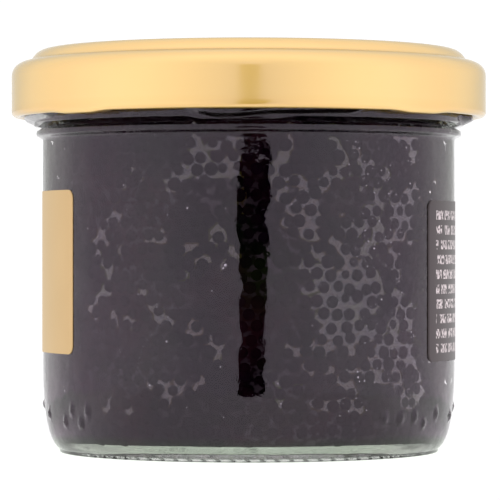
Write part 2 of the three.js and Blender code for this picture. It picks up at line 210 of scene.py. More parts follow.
# The clearest bubbles: azimuth in degrees, height and radius
BRIGHT_BUBBLES = (
    (-69.3, 38.1, 0.2), (-37.5, 36.9, 0.16), (-28.8, 10.2, 0.2), (-64.2, 9.0, 0.22), (8.1, 10.5, 0.16),
    (9.0, 7.9, 0.16), (-6.5, 26.2, 0.3), (-7.1, 25.8, 0.2), (-24.9, 18.4, 0.07), (-26.5, 17.7, 0.08),
    (-28.2, 16.9, 0.08), (-29.5, 16.2, 0.09), (-30.9, 15.3, 0.08), (-31.5, 14.6, 0.08), (-32.1, 13.8, 0.09),
    (-32.4, 13.1, 0.07), (-32.6, 12.5, 0.08),
)


def onto_circle(radius, azimuth, height):
    """Points at a radius and height, at an azimuth that starts at -Y and grows towards +X."""
    radius, azimuth, height = np.broadcast_arrays(radius, azimuth, height)
    return np.stack((radius * np.sin(azimuth), -radius * np.cos(azimuth), height), -1)


def line(start, end, steps):
    """Points evenly along a straight line, the first left out."""
    start, end = np.asarray(start, float), np.asarray(end, float)
    return start + (end - start) * np.linspace(0, 1, steps + 1)[1:, None]


def bezier(controls, steps):
    """Points of a Bezier curve of any degree, the first left out: neighbours are mixed until one is left."""
    share = np.linspace(0, 1, steps + 1)[1:, None]
    mixed = [np.asarray(control, float) for control in controls]
    while len(mixed) > 1:
        mixed = [a + (b - a) * share for a, b in zip(mixed, mixed[1:])]
    return mixed[0]


def arc(centre, radius, start, end, steps):
    """Points along a circle's arc between two angles in degrees, the first left out."""
    turn = np.radians(np.linspace(start, end, steps + 1)[1:])
    return np.stack((centre[0] + radius * np.cos(turn), centre[1] + radius * np.sin(turn)), -1)


def smooth(low, high, value):
    """Rises from 0 at low to 1 at high with level ends: 3t^2 - 2t^3."""
    share = np.clip((value - low) / (high - low), 0, 1)
    return share * share * (3 - 2 * share)


def new_piece(name, points, faces, finishes, finish_index=None):
    """Mesh at the origin from points in millimetres and arrays of triangles or quads, smooth shaded."""
    mesh = bpy.data.meshes.new(name)
    mesh.vertices.add(len(points))
    mesh.vertices.foreach_set("co", (points * MM).astype(np.float32).ravel())
    corners = np.concatenate([group.ravel() for group in faces])
    sizes = np.concatenate([np.full(len(group), group.shape[1]) for group in faces])
    mesh.loops.add(len(corners))
    mesh.loops.foreach_set("vertex_index", corners.astype(np.int32))
    mesh.polygons.add(len(sizes))
    mesh.polygons.foreach_set("loop_start", (np.cumsum(sizes) - sizes).astype(np.int32))
    mesh.polygons.foreach_set("use_smooth", np.ones(len(sizes), bool))
    for finish in finishes:
        mesh.materials.append(finish.material)
    if finish_index is not None:
        mesh.polygons.foreach_set("material_index", finish_index.astype(np.int32))
    mesh.update(calc_edges=True)
    mesh.validate()
    piece = bpy.data.objects.new(name, mesh)
    bpy.context.scene.collection.objects.link(piece)
    return piece


def turned_faces(rows, columns):
    """Faces of rows rings of columns points between two poles, which are the first and the last point."""
    column = np.arange(columns)
    after = (column + 1) % columns
    ring = 1 + columns * np.arange(rows - 1)[:, None]
    quads = np.stack((ring + column, ring + after, ring + columns + after, ring + columns + column), -1)
    last = 1 + columns * (rows - 1)
    foot = np.stack((np.zeros(columns, int), 1 + after, 1 + column), -1)
    head = np.stack((np.full(columns, last + columns), last + column, last + after), -1)
    return [quads.reshape(-1, 4), foot, head]


def section_normals(section):
    """Unit normals of a (radius, height) section, on its right as it runs up."""
    along = np.gradient(section, axis=0)
    along /= np.linalg.norm(along, axis=1, keepdims=True)
    return np.stack((along[:, 1], -along[:, 0]), -1)


def turned_points(section, azimuth, relief=0.0, sink=0.0):
    """Section turned round the axis, each ring moved out along its normal by relief, and down by sink."""
    normals = section_normals(section)
    rings = section[1:-1]
    relief = np.broadcast_to(relief, (len(rings), len(azimuth)))
    radius = rings[:, :1] + normals[1:-1, :1] * relief
    height = rings[:, 1:] + normals[1:-1, 1:] * relief - sink
    body = onto_circle(radius, azimuth[None, :], height).reshape(-1, 3)
    foot = onto_circle(0, 0, section[0, 1])
    head = onto_circle(0, 0, section[-1, 1])
    return np.vstack((foot[None], body, head[None]))


def from_angle(azimuth, centre):
    """Signed angle from a centre, between minus and plus half a turn."""
    return (azimuth - centre + math.pi) % FULL_TURN - math.pi


# Glass jar

HEEL = bezier(((HEEL_START, 0), *HEEL_PULLS, (BODY_RADIUS, HEEL_TOP)), 34)
SKIRT = HEEL[SKIRT_STEP]


def jar_section():
    """The jar's section from the punt out, up to the rim and down to the floor, and where its rim starts."""
    edge, ease = SKIRT[0], 0.08
    bend = (NECK_RADIUS - 0.1, NECK_FOOT - 0.04)
    outside = [
        np.array([[0, PUNT_HEIGHT]]),
        bezier(((0, PUNT_HEIGHT), (PUNT_PULL, PUNT_HEIGHT), PUNT_EDGE), 10),
        line(PUNT_EDGE, (FOOT_INNER, 0), 16)[[0, 7, 14, 15]],
        line((FOOT_INNER, 0), (edge - ease, 0), 2),
        bezier(((edge - ease, 0), (edge, 0), (edge, ease)), 3),
        line((edge, ease), SKIRT, 12)[[0, 3, 7, 10, 11]],
        HEEL[SKIRT_STEP + 1:],
        line((BODY_RADIUS, HEEL_TOP), (BODY_RADIUS, BEAD_FOOT - 0.4), 4),
        line((BODY_RADIUS, BEAD_FOOT - 0.4), (BODY_RADIUS, BEAD_FOOT), 1),
        bezier(((BODY_RADIUS, BEAD_FOOT), (BODY_RADIUS, BEAD_UNDERSIDE),
                (BEAD_RADIUS, BEAD_UNDERSIDE), (BEAD_RADIUS, BEAD_CENTRE)), 8),
        bezier(((BEAD_RADIUS, BEAD_CENTRE), (BEAD_RADIUS, BEAD_UPPER), (LIP_RADIUS, LIP_HEIGHT)), 8),
        line((LIP_RADIUS, LIP_HEIGHT), (WAIST_RADIUS, WAIST_HEIGHT), 30)[[0, 4, 14, 24, 28, 29]],
        line((WAIST_RADIUS, WAIST_HEIGHT), bend, 24)[[0, 4, 9, 14, 19, 23]],
        bezier((bend, (NECK_RADIUS, NECK_FOOT), (NECK_RADIUS, NECK_FOOT + 0.1)), 3),
        *(line((NECK_RADIUS, low), (NECK_RADIUS, high), steps) for low, high, steps in NECK_PARTS),
    ]
    inside = [
        arc((NECK_RADIUS - RIM_ROUND, RIM_TOP - RIM_ROUND), RIM_ROUND, 0, 180, 10),
        line((NECK_RADIUS - 2 * RIM_ROUND, RIM_TOP - RIM_ROUND), (BORE_RADIUS, BORE_TOP), 3),
        line((BORE_RADIUS, BORE_TOP), (BORE_RADIUS, CORNER[1]), 2),
        arc(CORNER, CORNER_ROUND, 0, -90, 8),
        bezier(((CORNER[0], FLOOR_HEIGHT), (BORE_RADIUS / 2, FLOOR_CROWN), (0, FLOOR_CROWN)), 6),
    ]
    return np.vstack(outside + inside), sum(map(len, outside))


def along_lug(azimuth, i):
    """Share of the way along lug i, from 0 at its start to 1 at its end."""
    return ((azimuth - LUG_START - i * FULL_TURN / LUG_COUNT) % FULL_TURN) / LUG_SPAN


def neck_sink(azimuth, height):
    """How far the neck's foot comes down under the first part of each lug, less and less further up."""
    sink = 0.0
    for i in range(LUG_COUNT):
        reach = along_lug(azimuth, i) * LUG_SPAN / APRON_SPAN
        sink = sink + APRON_DEPTH * smooth(0, 0.16, reach) * smooth(1, 0.75, reach)
    foot = np.clip((height - WAIST_HEIGHT) / (NECK_FOOT - WAIST_HEIGHT), 0, 1)
    return sink * foot * smooth(APRON_TOP, NECK_FOOT, height)


def lug_relief(azimuth, height):
    """Bar with a sloping lower flank, a level crest and a rounded top, fading out at its two ends."""
    relief = 0.0
    for i in range(LUG_COUNT):
        along = along_lug(azimuth, i)
        lift = LUG_DIP * smooth(LUG_DIP_SHARE, 0, along) + LUG_RISE * smooth(*LUG_RISE_SHARES, along)
        lift = lift + LUG_LEAD * np.clip(along - LUG_RISE_SHARES[1], 0, None) * LUG_SPAN / FULL_TURN
        above = height - LUG_LOW - lift - LUG_STEP * smooth(*LUG_STEP_SHARES, along)
        swell = np.clip(above / LUG_FLANK, 0, 1) * smooth(LUG_HEIGHT, LUG_CREST, above)
        relief = relief + LUG_REACH * swell * smooth(0, LUG_END, along) * smooth(0, LUG_END, 1 - along)
    return relief


def mould_relief(azimuth, height):
    """Round dots on the heel, and slanted notches in the upright skirt below it.

    A notch cuts back as far as the heel's curve, and the notches fade out towards the jar's two sides."""
    relief = 0.0
    for centre, level in MOULD_DOTS:
        across = from_angle(azimuth, math.radians(centre)) * BODY_RADIUS
        distance = np.hypot(across, height - level) / DOT_RADIUS
        relief = relief + DOT_HEIGHT * smooth(0, 0.6, 1 - distance)
    phase = azimuth * NOTCH_COUNT + height * NOTCH_SLANT * FULL_TURN / 2.1
    depth = np.clip(SKIRT[0] - np.interp(height, HEEL[:, 1], HEEL[:, 0]), 0, NOTCH_DEPTH)
    depth = depth * smooth(-0.5, 0.2, np.cos(2 * azimuth))
    return relief - depth * smooth(0.68, 1.0, np.cos(phase))


def glass_jar(finish):
    """The jar's section turned round, with lugs and mould marks as relief on its outside."""
    section, rim_start = jar_section()
    azimuth = np.arange(JAR_COLUMNS) * FULL_TURN / JAR_COLUMNS
    height = section[1:-1, 1:]
    outside = (np.arange(1, len(section) - 1) < rim_start)[:, None]
    neck = outside & (height > WAIST_HEIGHT)
    wall = outside & (height > NECK_FOOT + 0.05)
    heel = outside & (section[1:-1, :1] > HEEL_START) & (height > 0.05) & (height < HEEL_TOP)
    sink = neck_sink(azimuth[None], height) * neck
    relief = lug_relief(azimuth[None], height - sink) * wall + mould_relief(azimuth[None], height) * heel
    points = turned_points(section, azimuth, relief, sink)
    return new_piece("glass_jar", points, turned_faces(len(section) - 2, JAR_COLUMNS), [finish])


# Lid

def lid_section():
    """The lid's section from its underside round the rolled edge to the button, and where the edge starts."""
    inner = LID_RADIUS - LID_WALL
    curl_height = LID_FOOT + CURL_ROUND
    under = LID_TOP - LID_WALL
    hollow = (BUTTON_RADIUS + 8, under - BUTTON_DIP)
    valley, within = (VALLEY_RADIUS, VALLEY_HEIGHT), (VALLEY_RADIUS - LID_WALL, VALLEY_HEIGHT - LID_WALL)
    dip, button = LID_TOP - BUTTON_DIP, LID_TOP - BUTTON_DIP + BUTTON_RISE
    panel_bend, panel_ease, panel_end = (PANEL_RADIUS - fall for fall in PANEL_FALL)
    button_ease, button_start = (BUTTON_RADIUS + fall for fall in BUTTON_FALL)
    inside = [
        np.array([[0, under - BUTTON_DIP]]),
        line((0, under - BUTTON_DIP), hollow, 5),
        line(hollow, (PANEL_RADIUS, under), 4),
        line((PANEL_RADIUS, under), within, 3),
        bezier((within, (inner, SHOULDER_PULL - LID_WALL), (inner, SHOULDER_FOOT)), 6),
        line((inner, SHOULDER_FOOT), (inner, curl_height + CURL_ROUND), 4),
    ]
    outside = [
        arc((LID_RADIUS - CURL_ROUND, curl_height), CURL_ROUND, 135, 360, 16),
        line((LID_RADIUS, curl_height), (LID_RADIUS, SHOULDER_FOOT), 8),
        bezier(((LID_RADIUS, SHOULDER_FOOT), (LID_RADIUS, SHOULDER_PULL), valley), 16),
        bezier((valley, (PANEL_EDGE, LID_TOP), (PANEL_RADIUS, LID_TOP)), 10),
        bezier(((PANEL_RADIUS, LID_TOP), (panel_bend, LID_TOP), (panel_ease, dip), (panel_end, dip)), 8),
        line((panel_end, dip), (button_start, dip), 6),
        bezier(((button_start, dip), (button_ease, dip), (button_ease, button), (BUTTON_RADIUS, button)), 8),
        bezier(((BUTTON_RADIUS, button), (BUTTON_RADIUS / 2, button), (0, button - BUTTON_HOLLOW)), 8),
    ]
    return np.vstack(inside + outside), sum(map(len, inside))


def twist_off_lid(lacquer, inside_shade):
    """The lid's section turned round, its rolled edge pressed in as claws between the jar's lugs."""
    section, edge_start = lid_section()
    azimuth = np.arange(LID_COLUMNS) * FULL_TURN / LID_COLUMNS
    points = turned_points(section, azimuth)
    radius = np.hypot(points[:, 0], points[:, 1])
    place = np.arctan2(points[:, 0], -points[:, 1])
    turn = (place - CLAW_CENTRE) % (FULL_TURN / CLAW_COUNT)
    offset = np.minimum(turn, FULL_TURN / CLAW_COUNT - turn)
    inward = smooth(LID_RADIUS - 0.5 * CURL_ROUND, LID_RADIUS - 1.5 * CURL_ROUND, radius)
    claw = smooth(CLAW_WIDTH, 0.7 * CLAW_WIDTH, offset)
    curl_top = LID_FOOT + 1.9 * CURL_ROUND
    reach = CLAW_REACH * inward * claw * smooth(curl_top, LID_FOOT + 1.2 * CURL_ROUND, points[:, 2])
    drop = CLAW_DROP * smooth(CLAW_WIDTH, 0.3 * CLAW_WIDTH, offset)
    drop = drop * smooth(curl_top, LID_FOOT + 0.8 * CURL_ROUND, points[:, 2])
    points = onto_circle(radius - reach, place, points[:, 2] - drop)
    # Faces inside the lid get the dark painted shade, the rest get the lacquer.
    shaded_inside = np.concatenate((np.repeat(np.arange(1, len(section) - 2) < edge_start, LID_COLUMNS),
                            np.ones(LID_COLUMNS), np.zeros(LID_COLUMNS)))
    faces = turned_faces(len(section) - 2, LID_COLUMNS)
    return new_piece("twist_off_lid", points, faces, [lacquer, inside_shade], shaded_inside)


# Roe and jelly

def wall_section():
    """Inner surface of the glass as one line from the floor's centre to the fill height."""
    return np.vstack([
        np.array([[0, FLOOR_CROWN]]),
        bezier(((0, FLOOR_CROWN), (BORE_RADIUS / 2, FLOOR_CROWN), (CORNER[0], FLOOR_HEIGHT)), FLOOR_STEPS),
        arc(CORNER, CORNER_ROUND, -90, 0, CORNER_STEPS),
        line((BORE_RADIUS, CORNER[1]), (BORE_RADIUS, FILL_HEIGHT), 120),
    ])


WALL = wall_section()
WALL_NORMAL = section_normals(WALL)
WALL_LENGTH = np.concatenate(([0], np.cumsum(np.linalg.norm(np.diff(WALL, axis=0), axis=1))))
FLOOR_END, CORNER_END = WALL_LENGTH[FLOOR_STEPS + FILM_STEPS], WALL_LENGTH[FLOOR_STEPS + CORNER_STEPS]


def along_wall(length, azimuth, outward):
    """Points at a length along the wall from the floor's centre, moved outward along the wall's normal."""
    place = [np.interp(length, WALL_LENGTH, column) for column in (*WALL.T, *WALL_NORMAL.T)]
    return onto_circle(place[0] + place[2] * outward, azimuth, place[1] + place[3] * outward)


def wave_noise(azimuth, height, draw, size, count=36):
    """Sum of cosines round and up the wall, with random directions and a wavelength of about size mm."""
    turns = FULL_TURN * BORE_RADIUS / size
    total = 0.0
    for _ in range(count):
        direction = draw.uniform(0, math.pi)
        pace = draw.uniform(0.6, 1.4)
        round_turns = round(turns * pace * math.cos(direction))
        rise = FULL_TURN / size * pace * math.sin(direction)
        total = total + np.cos(round_turns * azimuth + rise * height + draw.uniform(0, FULL_TURN))
    return total * math.sqrt(2 / count)


def chain_distance(azimuth, height, chain):
    """Distance in millimetres outside a chain of widened round cones laid on the wall, negative inside."""
    nearest = np.full(np.broadcast(azimuth, height).shape, 1e3)
    chain = [(a, h, r / 100) for a, h, r in chain]
    for (a0, h0, r0), (a1, h1, r1) in zip(chain, chain[1:]):
        middle = math.radians((a0 + a1) / 2)
        across = from_angle(azimuth, middle) * BORE_RADIUS
        half = math.radians(a1 - a0) / 2 * BORE_RADIUS
        span = np.array((2 * half, h1 - h0))
        share = ((across + half) * span[0] + (height - h0) * span[1]) / max(span @ span, 1e-6)
        share = np.clip(share, 0, 1)
        gap = np.hypot(across + half - share * span[0], height - h0 - share * span[1])
        nearest = np.minimum(nearest, gap - POCKET_SPREAD - (1 + POCKET_GROWTH) * (r0 + (r1 - r0) * share))
    return nearest


def pocket_distance(azimuth, height):
    """Distance outside the nearest air pocket: placed chains in front, and a noise field elsewhere."""
    draw = np.random.default_rng(SEED)
    placed = np.full(np.broadcast(azimuth, height).shape, 1e3)
    for chain in AIR_POCKETS:
        placed = np.minimum(placed, chain_distance(azimuth, height, chain))
    broad = wave_noise(azimuth, height, draw, 11.0)
    fine = wave_noise(azimuth, height, draw, 3.6)
    turn = from_angle(azimuth, 0)
    side = np.abs(turn)
    hidden = smooth(*HIDDEN_SIDE, side)
    sparse = smooth(*EDGE_CLEAR, np.abs(side - EDGE_SIDE))
    crowded = smooth(*CROWDED_SIDE, turn) * smooth(*CROWDED_TOP, height)
    crowded = crowded * smooth(*CROWDED_FOOT, height) * (1 - hidden)
    barred = SCATTER_BAR * (1 - hidden) * (1 - crowded)
    scattered = 1.5 - 0.9 * broad - 0.75 * fine + barred - 0.9 * crowded + sparse
    scattered = scattered + SCATTER_BAR * smooth(*SCATTER_FOOT, height)
    ripple = POCKET_RIPPLE * wave_noise(azimuth, height, draw, 1.6)
    return np.minimum(placed, scattered) + ripple


def roe_jelly(against_glass, in_air):
    """Dark jelly round the eggs, which reaches into the glass and drops back from it in the air pockets.

    A thin film of air parts it from the glass floor."""
    side_rows = round((WALL_LENGTH[-1] - CORNER_END) / JELLY_SPACING)
    lengths = np.concatenate((np.linspace(0, FLOOR_END, 11)[1:], np.linspace(FLOOR_END, CORNER_END, 16)[1:],
                              np.linspace(CORNER_END, WALL_LENGTH[-1], side_rows)[1:]))
    azimuth = np.arange(JELLY_COLUMNS) * FULL_TURN / JELLY_COLUMNS
    height = np.interp(lengths, WALL_LENGTH, WALL[:, 1])[:, None]
    inside = -pocket_distance(azimuth[None], height)
    inside = inside - 3 * smooth(7, 0, lengths)[:, None]
    drop = np.clip(POCKET_SLOPE * inside, -JELLY_REACH, None)
    drop = np.minimum(drop + POCKET_STEEPENING * np.clip(inside, 0, None) ** 2, POCKET_DEPTH)
    drop = np.where(lengths[:, None] <= FLOOR_END, FLOOR_FILM, drop)
    side = along_wall(lengths[:, None], azimuth[None], -drop)
    top_share = np.array((0.985, 0.95, 0.85, 0.6, 0.3))
    top_height = FILL_HEIGHT - FILL_DROP + FILL_CROWN * (1 - top_share ** 6)
    top = onto_circle(BORE_RADIUS * top_share[:, None], azimuth[None], top_height[:, None])
    rows = np.concatenate((side, top))
    foot = along_wall(0.0, 0.0, -FLOOR_FILM)
    head = onto_circle(0, 0, FILL_HEIGHT + FILL_CROWN - FILL_DROP)
    points = np.vstack((foot[None], rows.reshape(-1, 3), head[None]))
    faces = turned_faces(len(rows), JELLY_COLUMNS)
    dry = np.vstack((drop > 0.0, np.ones((len(top), JELLY_COLUMNS), bool)))
    quad_dry = dry[:-1] | dry[1:]
    quad_dry = quad_dry | np.roll(quad_dry, -1, axis=1)
    index = np.concatenate((quad_dry.ravel(), np.ones(2 * JELLY_COLUMNS)))
    return new_piece("roe_jelly", points, faces, [against_glass, in_air], index)


def egg_places(draw):
    """Rows of eggs up the wall, each half a step round from the one below, and all a little out of place."""
    row_step = EGG_SPACING * math.sqrt(3) / 2
    rows = np.arange(1.2, WALL_LENGTH[-1] - 0.6, row_step)
    lengths, azimuths = [], []
    for i, length in enumerate(rows):
        radius = float(np.interp(length, WALL_LENGTH, WALL[:, 0]))
        count = max(3, round(FULL_TURN * radius / EGG_SPACING))
        lengths.append(np.full(count, length))
        azimuths.append((np.arange(count) + 0.5 * (i % 2)) * FULL_TURN / count)
    lengths, azimuths = np.concatenate(lengths), np.concatenate(azimuths)
    radius = np.interp(lengths, WALL_LENGTH, WALL[:, 0])
    lengths = lengths + draw.normal(0, EGG_STRAY, len(lengths)) * EGG_SPACING
    azimuths = azimuths + draw.normal(0, EGG_STRAY, len(azimuths)) * EGG_SPACING / np.maximum(radius, 2)
    return np.clip(lengths, 0.8, WALL_LENGTH[-1] - 1.0), azimuths


def roe_eggs(against_glass, in_air):
    """Soft round eggs pressed flat on the glass: a flat disc, then rings at the egg's waist and below it.

    Ring k of an egg has the radius and depth that reach and drop give, scaled by the egg's own size."""
    draw = np.random.default_rng(SEED + 1)
    length, azimuth = egg_places(draw)
    count = len(length)
    size = EGG_RADIUS * draw.normal(1, EGG_SIZE_STRAY, count).clip(*EGG_SIZES)
    contact = (CONTACT_RADIUS * draw.normal(1, CONTACT_STRAY, count)).clip(*CONTACT_RADII) * size
    away = np.clip(draw.normal(-0.9, 0.5, count), 0, 0.5)
    away = np.where(length < FLOOR_END + 0.8, EGG_REACH + 0.6 * FLOOR_FILM, away)
    reach = np.stack((contact, size, 0.72 * size), axis=1)
    depth = np.stack((np.full(count, -EGG_REACH), 0.62 * size, 1.35 * size), axis=1) + away[:, None]
    turn = np.arange(EGG_COLUMNS) * FULL_TURN / EGG_COLUMNS
    turn = -turn[None, :] + draw.uniform(0, 1, count)[:, None]
    across = reach[:, :, None] * np.cos(turn)[:, None, :]
    along = reach[:, :, None] * np.sin(turn)[:, None, :]
    radius = np.maximum(np.interp(length, WALL_LENGTH, WALL[:, 0]), 1.2)
    place = along_wall(length[:, None, None] + along, azimuth[:, None, None] + across / radius[:, None, None],
                       -np.broadcast_to(depth[:, :, None], across.shape))
    crown = along_wall(length, azimuth, EGG_REACH - away)
    root = along_wall(length, azimuth, -(1.6 * size + away))
    points = np.concatenate((crown[:, None], place.reshape(count, -1, 3), root[:, None]), axis=1)
    per_egg = points.shape[1]
    quads, foot, head = turned_faces(3, EGG_COLUMNS)
    first = per_egg * np.arange(count)[:, None, None]
    faces = [(quads + first).reshape(-1, 4), (foot + first).reshape(-1, 3), (head + first).reshape(-1, 3)]
    index = np.repeat((1, 0, 1), (count * len(quads), count * len(foot), count * len(head)))
    piece = new_piece("roe_eggs", points.reshape(-1, 3), faces, [against_glass, in_air], index)
    tint = piece.data.attributes.new("egg_tint", "FLOAT", "POINT")
    tint.data.foreach_set("value", np.repeat(draw.uniform(0, 1, count), per_egg).astype(np.float32))
    return piece


def jelly_bubbles(finish):
    """Tiny flat air bubbles against the glass, most of them at the rims of the pockets on the right.

    Each is a lens of eight sides and three rings."""
    draw = np.random.default_rng(SEED + 2)
    length = draw.uniform(CORNER_END + 0.5, WALL_LENGTH[-1] - 0.5, BUBBLE_TRIES)
    azimuth = draw.uniform(-math.pi, math.pi, BUBBLE_TRIES)
    distance = pocket_distance(azimuth, np.interp(length, WALL_LENGTH, WALL[:, 1]))
    near = smooth(BUBBLE_WIDTH, 0.5 * BUBBLE_WIDTH, np.abs(azimuth - BUBBLE_CENTRE))
    chance = BUBBLE_CHANCE + near * smooth(0.5, 0.1, np.abs(distance - 0.1))
    kept = (draw.uniform(0, 1, BUBBLE_TRIES) < chance) & (np.abs(azimuth) > BUBBLE_GAP)
    length, azimuth = length[kept], azimuth[kept]
    size = np.clip(draw.lognormal(math.log(BUBBLE_RADIUS), BUBBLE_STRAY, len(length)), *BUBBLE_RADII)
    bright = np.array(BRIGHT_BUBBLES)
    length = np.append(length, bright[:, 1] - WALL[FLOOR_STEPS + CORNER_STEPS, 1] + CORNER_END)
    azimuth = np.append(azimuth, np.radians(bright[:, 0]))
    size = np.append(size, bright[:, 2])
    columns, tilt = 8, np.radians((40, 90, 140))
    turn = -np.arange(columns) * FULL_TURN / columns
    across = np.sin(tilt)[:, None] * np.cos(turn)
    along = np.sin(tilt)[:, None] * np.sin(turn)
    out = np.broadcast_to(BUBBLE_FLATNESS * np.cos(tilt)[:, None], across.shape)
    ends = np.array(((0, 0, BUBBLE_FLATNESS), (0, 0, -BUBBLE_FLATNESS)))
    shape = np.concatenate((ends[:1], np.stack((across, along, out), -1).reshape(-1, 3), ends[1:]))
    local = shape[None] * size[:, None, None]
    points = along_wall(length[:, None] + local[:, :, 1], azimuth[:, None] + local[:, :, 0] / BORE_RADIUS,
                        local[:, :, 2] + EGG_REACH + 0.02)
    first = points.shape[1] * np.arange(len(size))[:, None, None]
    faces = [(group + first).reshape(-1, group.shape[1]) for group in turned_faces(3, columns)]
    return new_piece("jelly_bubbles", points.reshape(-1, 3), faces, [finish])


# Labels

def label(name, centre, half_angle, low, high, finish):
    """Thin plate bent round the jar, with rounded corners: each level has its own half width.

    Its UV map holds the distance from the centre line and from the lower edge, in millimetres."""
    columns, corner_steps, straight_steps = 64, 8, 6
    centre, half_angle = np.radians((centre, half_angle))
    half_width = LABEL_OUTER * half_angle
    turn = np.linspace(0, math.pi / 2, corner_steps + 1)
    rise = LABEL_CORNER * (1 - np.cos(turn))
    inset = LABEL_CORNER * (1 - np.sin(turn))
    middle = np.linspace(low + LABEL_CORNER, high - LABEL_CORNER, straight_steps + 1)[1:-1]
    height = np.concatenate((low + rise, middle, high - rise[::-1]))
    half = half_width - np.concatenate((inset, np.zeros(len(middle)), inset[::-1]))
    across = half[:, None] * np.linspace(-1, 1, columns + 1)[None]
    angle = centre + across / LABEL_OUTER
    rows, width = angle.shape
    outer = onto_circle(LABEL_OUTER, angle, height[:, None]).reshape(-1, 3)
    inner = onto_circle(LABEL_INNER, angle, height[:, None]).reshape(-1, 3)
    place = np.arange(rows * width).reshape(rows, width)
    front = np.stack((place[:-1, :-1], place[:-1, 1:], place[1:, 1:], place[1:, :-1]), -1).reshape(-1, 4)
    rim = np.concatenate((place[0], place[1:, -1], place[-1, -2::-1], place[-2:0:-1, 0]))
    after = np.roll(rim, -1)
    behind = rows * width
    edge = np.stack((rim + behind, after + behind, after, rim), -1)
    piece = new_piece(name, np.vstack((outer, inner)), [front, front[:, ::-1] + behind, edge], [finish])
    flat = np.stack((across, np.broadcast_to(height[:, None] - low, across.shape)), -1).reshape(-1, 2)
    corners = np.empty(len(piece.data.loops), np.int32)
    piece.data.loops.foreach_get("vertex_index", corners)
    layer = piece.data.uv_layers.new(name="flat_print")
    layer.data.foreach_set("uv", np.vstack((flat, flat))[corners].astype(np.float32).ravel())
    sharp = np.zeros(len(piece.data.polygons), bool)
    sharp[2 * len(front):] = True
    piece.data.polygons.foreach_set("use_smooth", ~sharp)
    return piece


# Finishes

class Nodes:
    """Short calls that add nodes to a tree and join them."""

    def __init__(self, tree):
        self.tree = tree

    def add(self, kind, settings=None, **sockets):
        """New node with its settings and its sockets' values; _0 is its first socket."""
        node = self.tree.nodes.new(kind)
        for name, value in (settings or {}).items():
            setattr(node, name, value)
        for name, value in sockets.items():
            key = int(name[1:]) if name[0] == "_" else name.replace("_", " ")
            self.fill(node.inputs[key], value)
        return node

    def fill(self, socket, value):
        """Joins another socket to this one, or sets its value; a colour gets its fourth part here."""
        if isinstance(value, bpy.types.NodeSocket):
            self.tree.links.new(value, socket)
        else:
            socket.default_value = (*value, 1) if socket.type == "RGBA" else value

    def place(self):
        """Object coordinates."""
        return self.add("ShaderNodeTexCoord").outputs["Object"]

    def noise(self, scale, detail=2.0):
        return self.add("ShaderNodeTexNoise", Vector=self.place(), Scale=scale, Detail=detail).outputs["Fac"]

    def math(self, operation, a, b=0.0, c=0.5):
        return self.add("ShaderNodeMath", {"operation": operation}, _0=a, _1=b, _2=c).outputs[0]

    def product(self, first, *others):
        for other in others:
            first = self.math("MULTIPLY", first, other)
        return first

    def between(self, value, low, high):
        """1 from low to high, else 0."""
        return self.product(self.math("GREATER_THAN", value, low), self.math("LESS_THAN", value, high))

    def spread(self, value, low, high, to_low=0.0, to_high=1.0):
        """Value carried from one range to another, and held at its ends."""
        return self.add("ShaderNodeMapRange", Value=value, From_Min=low, From_Max=high, To_Min=to_low,
                        To_Max=to_high).outputs[0]

    def ramp(self, value, stops):
        """Colour that a value has between stops, each a position and a colour."""
        node = self.add("ShaderNodeValToRGB", _0=value)
        elements = node.color_ramp.elements
        while len(elements) < len(stops):
            elements.new(0.5)
        for element, (position, colour) in zip(elements, stops):
            element.position, element.color = position, (*colour, 1)
        return node.outputs[0]

    def mix(self, share, first, second):
        """Colour between two colours."""
        node = self.add("ShaderNodeMix", {"data_type": "RGBA"})
        for place, value in ((0, share), (6, first), (7, second)):
            self.fill(node.inputs[place], value)
        return node.outputs[2]

    def clouds(self):
        """Near-black that drifts between violet, red and green over about a centimetre."""
        drift = self.spread(self.noise(75), 0.42, 0.6)
        reddish = self.mix(drift, (0.0015, 0.0004, 0.0015), (0.015, 0.0035, 0.0062))
        return self.mix(self.spread(self.noise(60), 0.52, 0.66, 0, 0.8), reddish, (0.004, 0.009, 0.002))

    def bump(self, height, distance, normal=None):
        """Bump of a height field, distance metres for a step of one."""
        below = {"Normal": normal} if normal else {}
        node = self.add("ShaderNodeBump", Height=height, Distance=distance, Strength=1.0, **below)
        return node.outputs["Normal"]


class Finish(Nodes):
    """A material with one principled shader."""

    def __init__(self, name, **sockets):
        self.material = bpy.data.materials.new(name)
        self.material.use_nodes = True
        super().__init__(self.material.node_tree)
        self.tree.nodes.clear()
        self.output = self.tree.nodes.new("ShaderNodeOutputMaterial")
        self.shader = self.add("ShaderNodeBsdfPrincipled", **sockets)
        self.fill(self.output.inputs["Surface"], self.shader.outputs[0])

    def drive(self, **sockets):
        """Joins results to the shader's sockets."""
        for name, value in sockets.items():
            self.fill(self.shader.inputs[name.replace("_", " ")], value)


def clear_glass():
    """Moulded glass: faintly uneven, with a green tinge that grows with its thickness."""
    finish = Finish("clear_glass", Base_Color=(1, 1, 1), Roughness=0.0, IOR=1.52, Transmission_Weight=1.0)
    broad = finish.bump(finish.noise(125), 2.4e-4)
    middle = finish.bump(finish.noise(900), 1.6e-5, broad)
    finish.drive(Normal=finish.bump(finish.noise(1500), 4.5e-6, middle))
    depth = finish.add("ShaderNodeVolumeAbsorption", Color=(0.67, 0.72, 0.65), Density=54.0)
    finish.fill(finish.output.inputs["Volume"], depth.outputs[0])
    return finish


